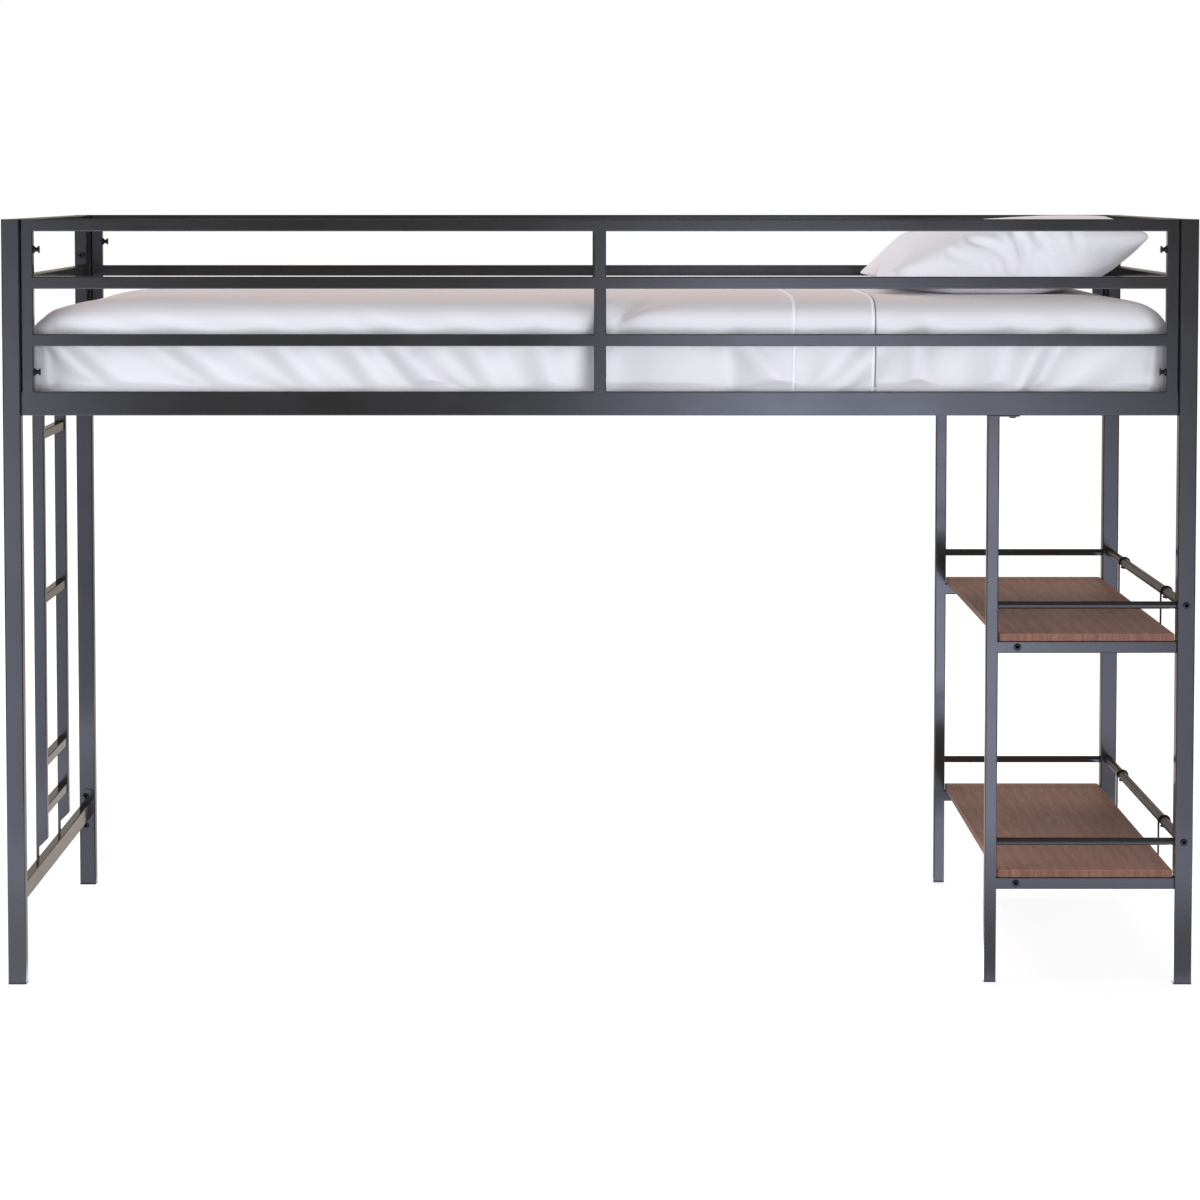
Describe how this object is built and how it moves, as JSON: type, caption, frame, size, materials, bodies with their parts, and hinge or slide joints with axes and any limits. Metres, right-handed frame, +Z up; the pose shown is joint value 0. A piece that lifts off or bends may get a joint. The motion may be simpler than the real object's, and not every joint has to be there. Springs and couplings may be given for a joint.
{
  "type": "loft bed",
  "caption": "Twin loft bed of square steel tube with guard rails all round, fixed end ladder, end shelves with gallery rails, slats, mattress and pillow.",
  "frame": {"origin": "on the floor under the middle of the frame, at the bottom centre of the bounding box", "axes": "+X runs from the ladder end to the shelf end, +Y from the front to the back, +Z up"},
  "size_m": [1.98, 1.054, 1.278],
  "materials": {
    "gunmetal_paint": "satin gunmetal powder coat on square steel tube",
    "black_plastic_feet": "moulded black insert",
    "black_bolts": "black-coated steel bolt",
    "black_wire": "black-coated steel wire",
    "dark_gallery_tube": "satin dark grey powder coat on round steel tube",
    "walnut_board": "walnut-grained laminate on board, low sheen",
    "slat_steel": "dark satin coat on formed steel channel",
    "mattress_cloth": "white cotton fitted sheet",
    "pillow_cloth": "white cotton pillowcase"
  },
  "bodies": {
    "frame": {"board_hanger_lower_back": "black_wire", "board_hanger_lower_front": "black_wire", "board_hanger_upper_back": "black_wire", "board_hanger_upper_front": "black_wire", "end_bolt_back_ladder_end_lower": "black_bolts", "end_bolt_back_ladder_end_upper": "black_bolts", "end_bolt_back_shelf_end_lower": "black_bolts", "end_bolt_back_shelf_end_upper": "black_bolts", "end_bolt_front_ladder_end_lower": "black_bolts", "end_bolt_front_ladder_end_upper": "black_bolts", "end_bolt_front_shelf_end_lower": "black_bolts", "end_bolt_front_shelf_end_upper": "black_bolts", "end_panel_ladder_end": "gunmetal_paint", "end_panel_shelf_end": "gunmetal_paint", "gallery_tube_lower": "dark_gallery_tube", "gallery_tube_upper": "dark_gallery_tube", "ladder": "gunmetal_paint", "lower_end_rail": "gunmetal_paint", "post_back_ladder_end": "gunmetal_paint", "post_back_shelf_end": "gunmetal_paint", "post_foot_back_ladder_end": "black_plastic_feet", "post_foot_back_shelf_end": "black_plastic_feet", "post_foot_front_ladder_end": "black_plastic_feet", "post_foot_front_shelf_end": "black_plastic_feet", "post_front_ladder_end": "gunmetal_paint", "post_front_shelf_end": "gunmetal_paint", "shelf_board_lower": "walnut_board", "shelf_board_upper": "walnut_board", "shelf_cross_bar_lower": "gunmetal_paint", "shelf_cross_bar_upper": "gunmetal_paint", "shelf_foot_back": "black_plastic_feet", "shelf_foot_front": "black_plastic_feet", "shelf_frame_back": "gunmetal_paint", "shelf_frame_front": "gunmetal_paint", "side_bolt_back_ladder_end_lower": "black_bolts", "side_bolt_back_ladder_end_upper": "black_bolts", "side_bolt_back_shelf_end_lower": "black_bolts", "side_bolt_back_shelf_end_upper": "black_bolts", "side_bolt_front_ladder_end_lower": "black_bolts", "side_bolt_front_ladder_end_upper": "black_bolts", "side_bolt_front_shelf_end_lower": "black_bolts", "side_bolt_front_shelf_end_upper": "black_bolts", "side_panel_back": "gunmetal_paint", "side_panel_front": "gunmetal_paint", "slat_01": "slat_steel", "slat_02": "slat_steel", "slat_03": "slat_steel", "slat_04": "slat_steel", "slat_05": "slat_steel", "slat_06": "slat_steel", "slat_07": "slat_steel", "slat_08": "slat_steel", "slat_09": "slat_steel", "slat_10": "slat_steel", "slat_11": "slat_steel", "slat_12": "slat_steel"},
    "mattress": {"mattress": "mattress_cloth"},
    "pillow": {"pillow": "pillow_cloth"}
  },
  "joints": [
    {"name": "mattress_lift", "type": "slide", "parent": "frame", "child": "mattress", "axis": [0, 0, 1], "range_m": [0, 0.35]},
    {"name": "pillow_lift", "type": "slide", "parent": "mattress", "child": "pillow", "axis": [0, 0, 1], "range_m": [0, 0.3]}
  ]
}
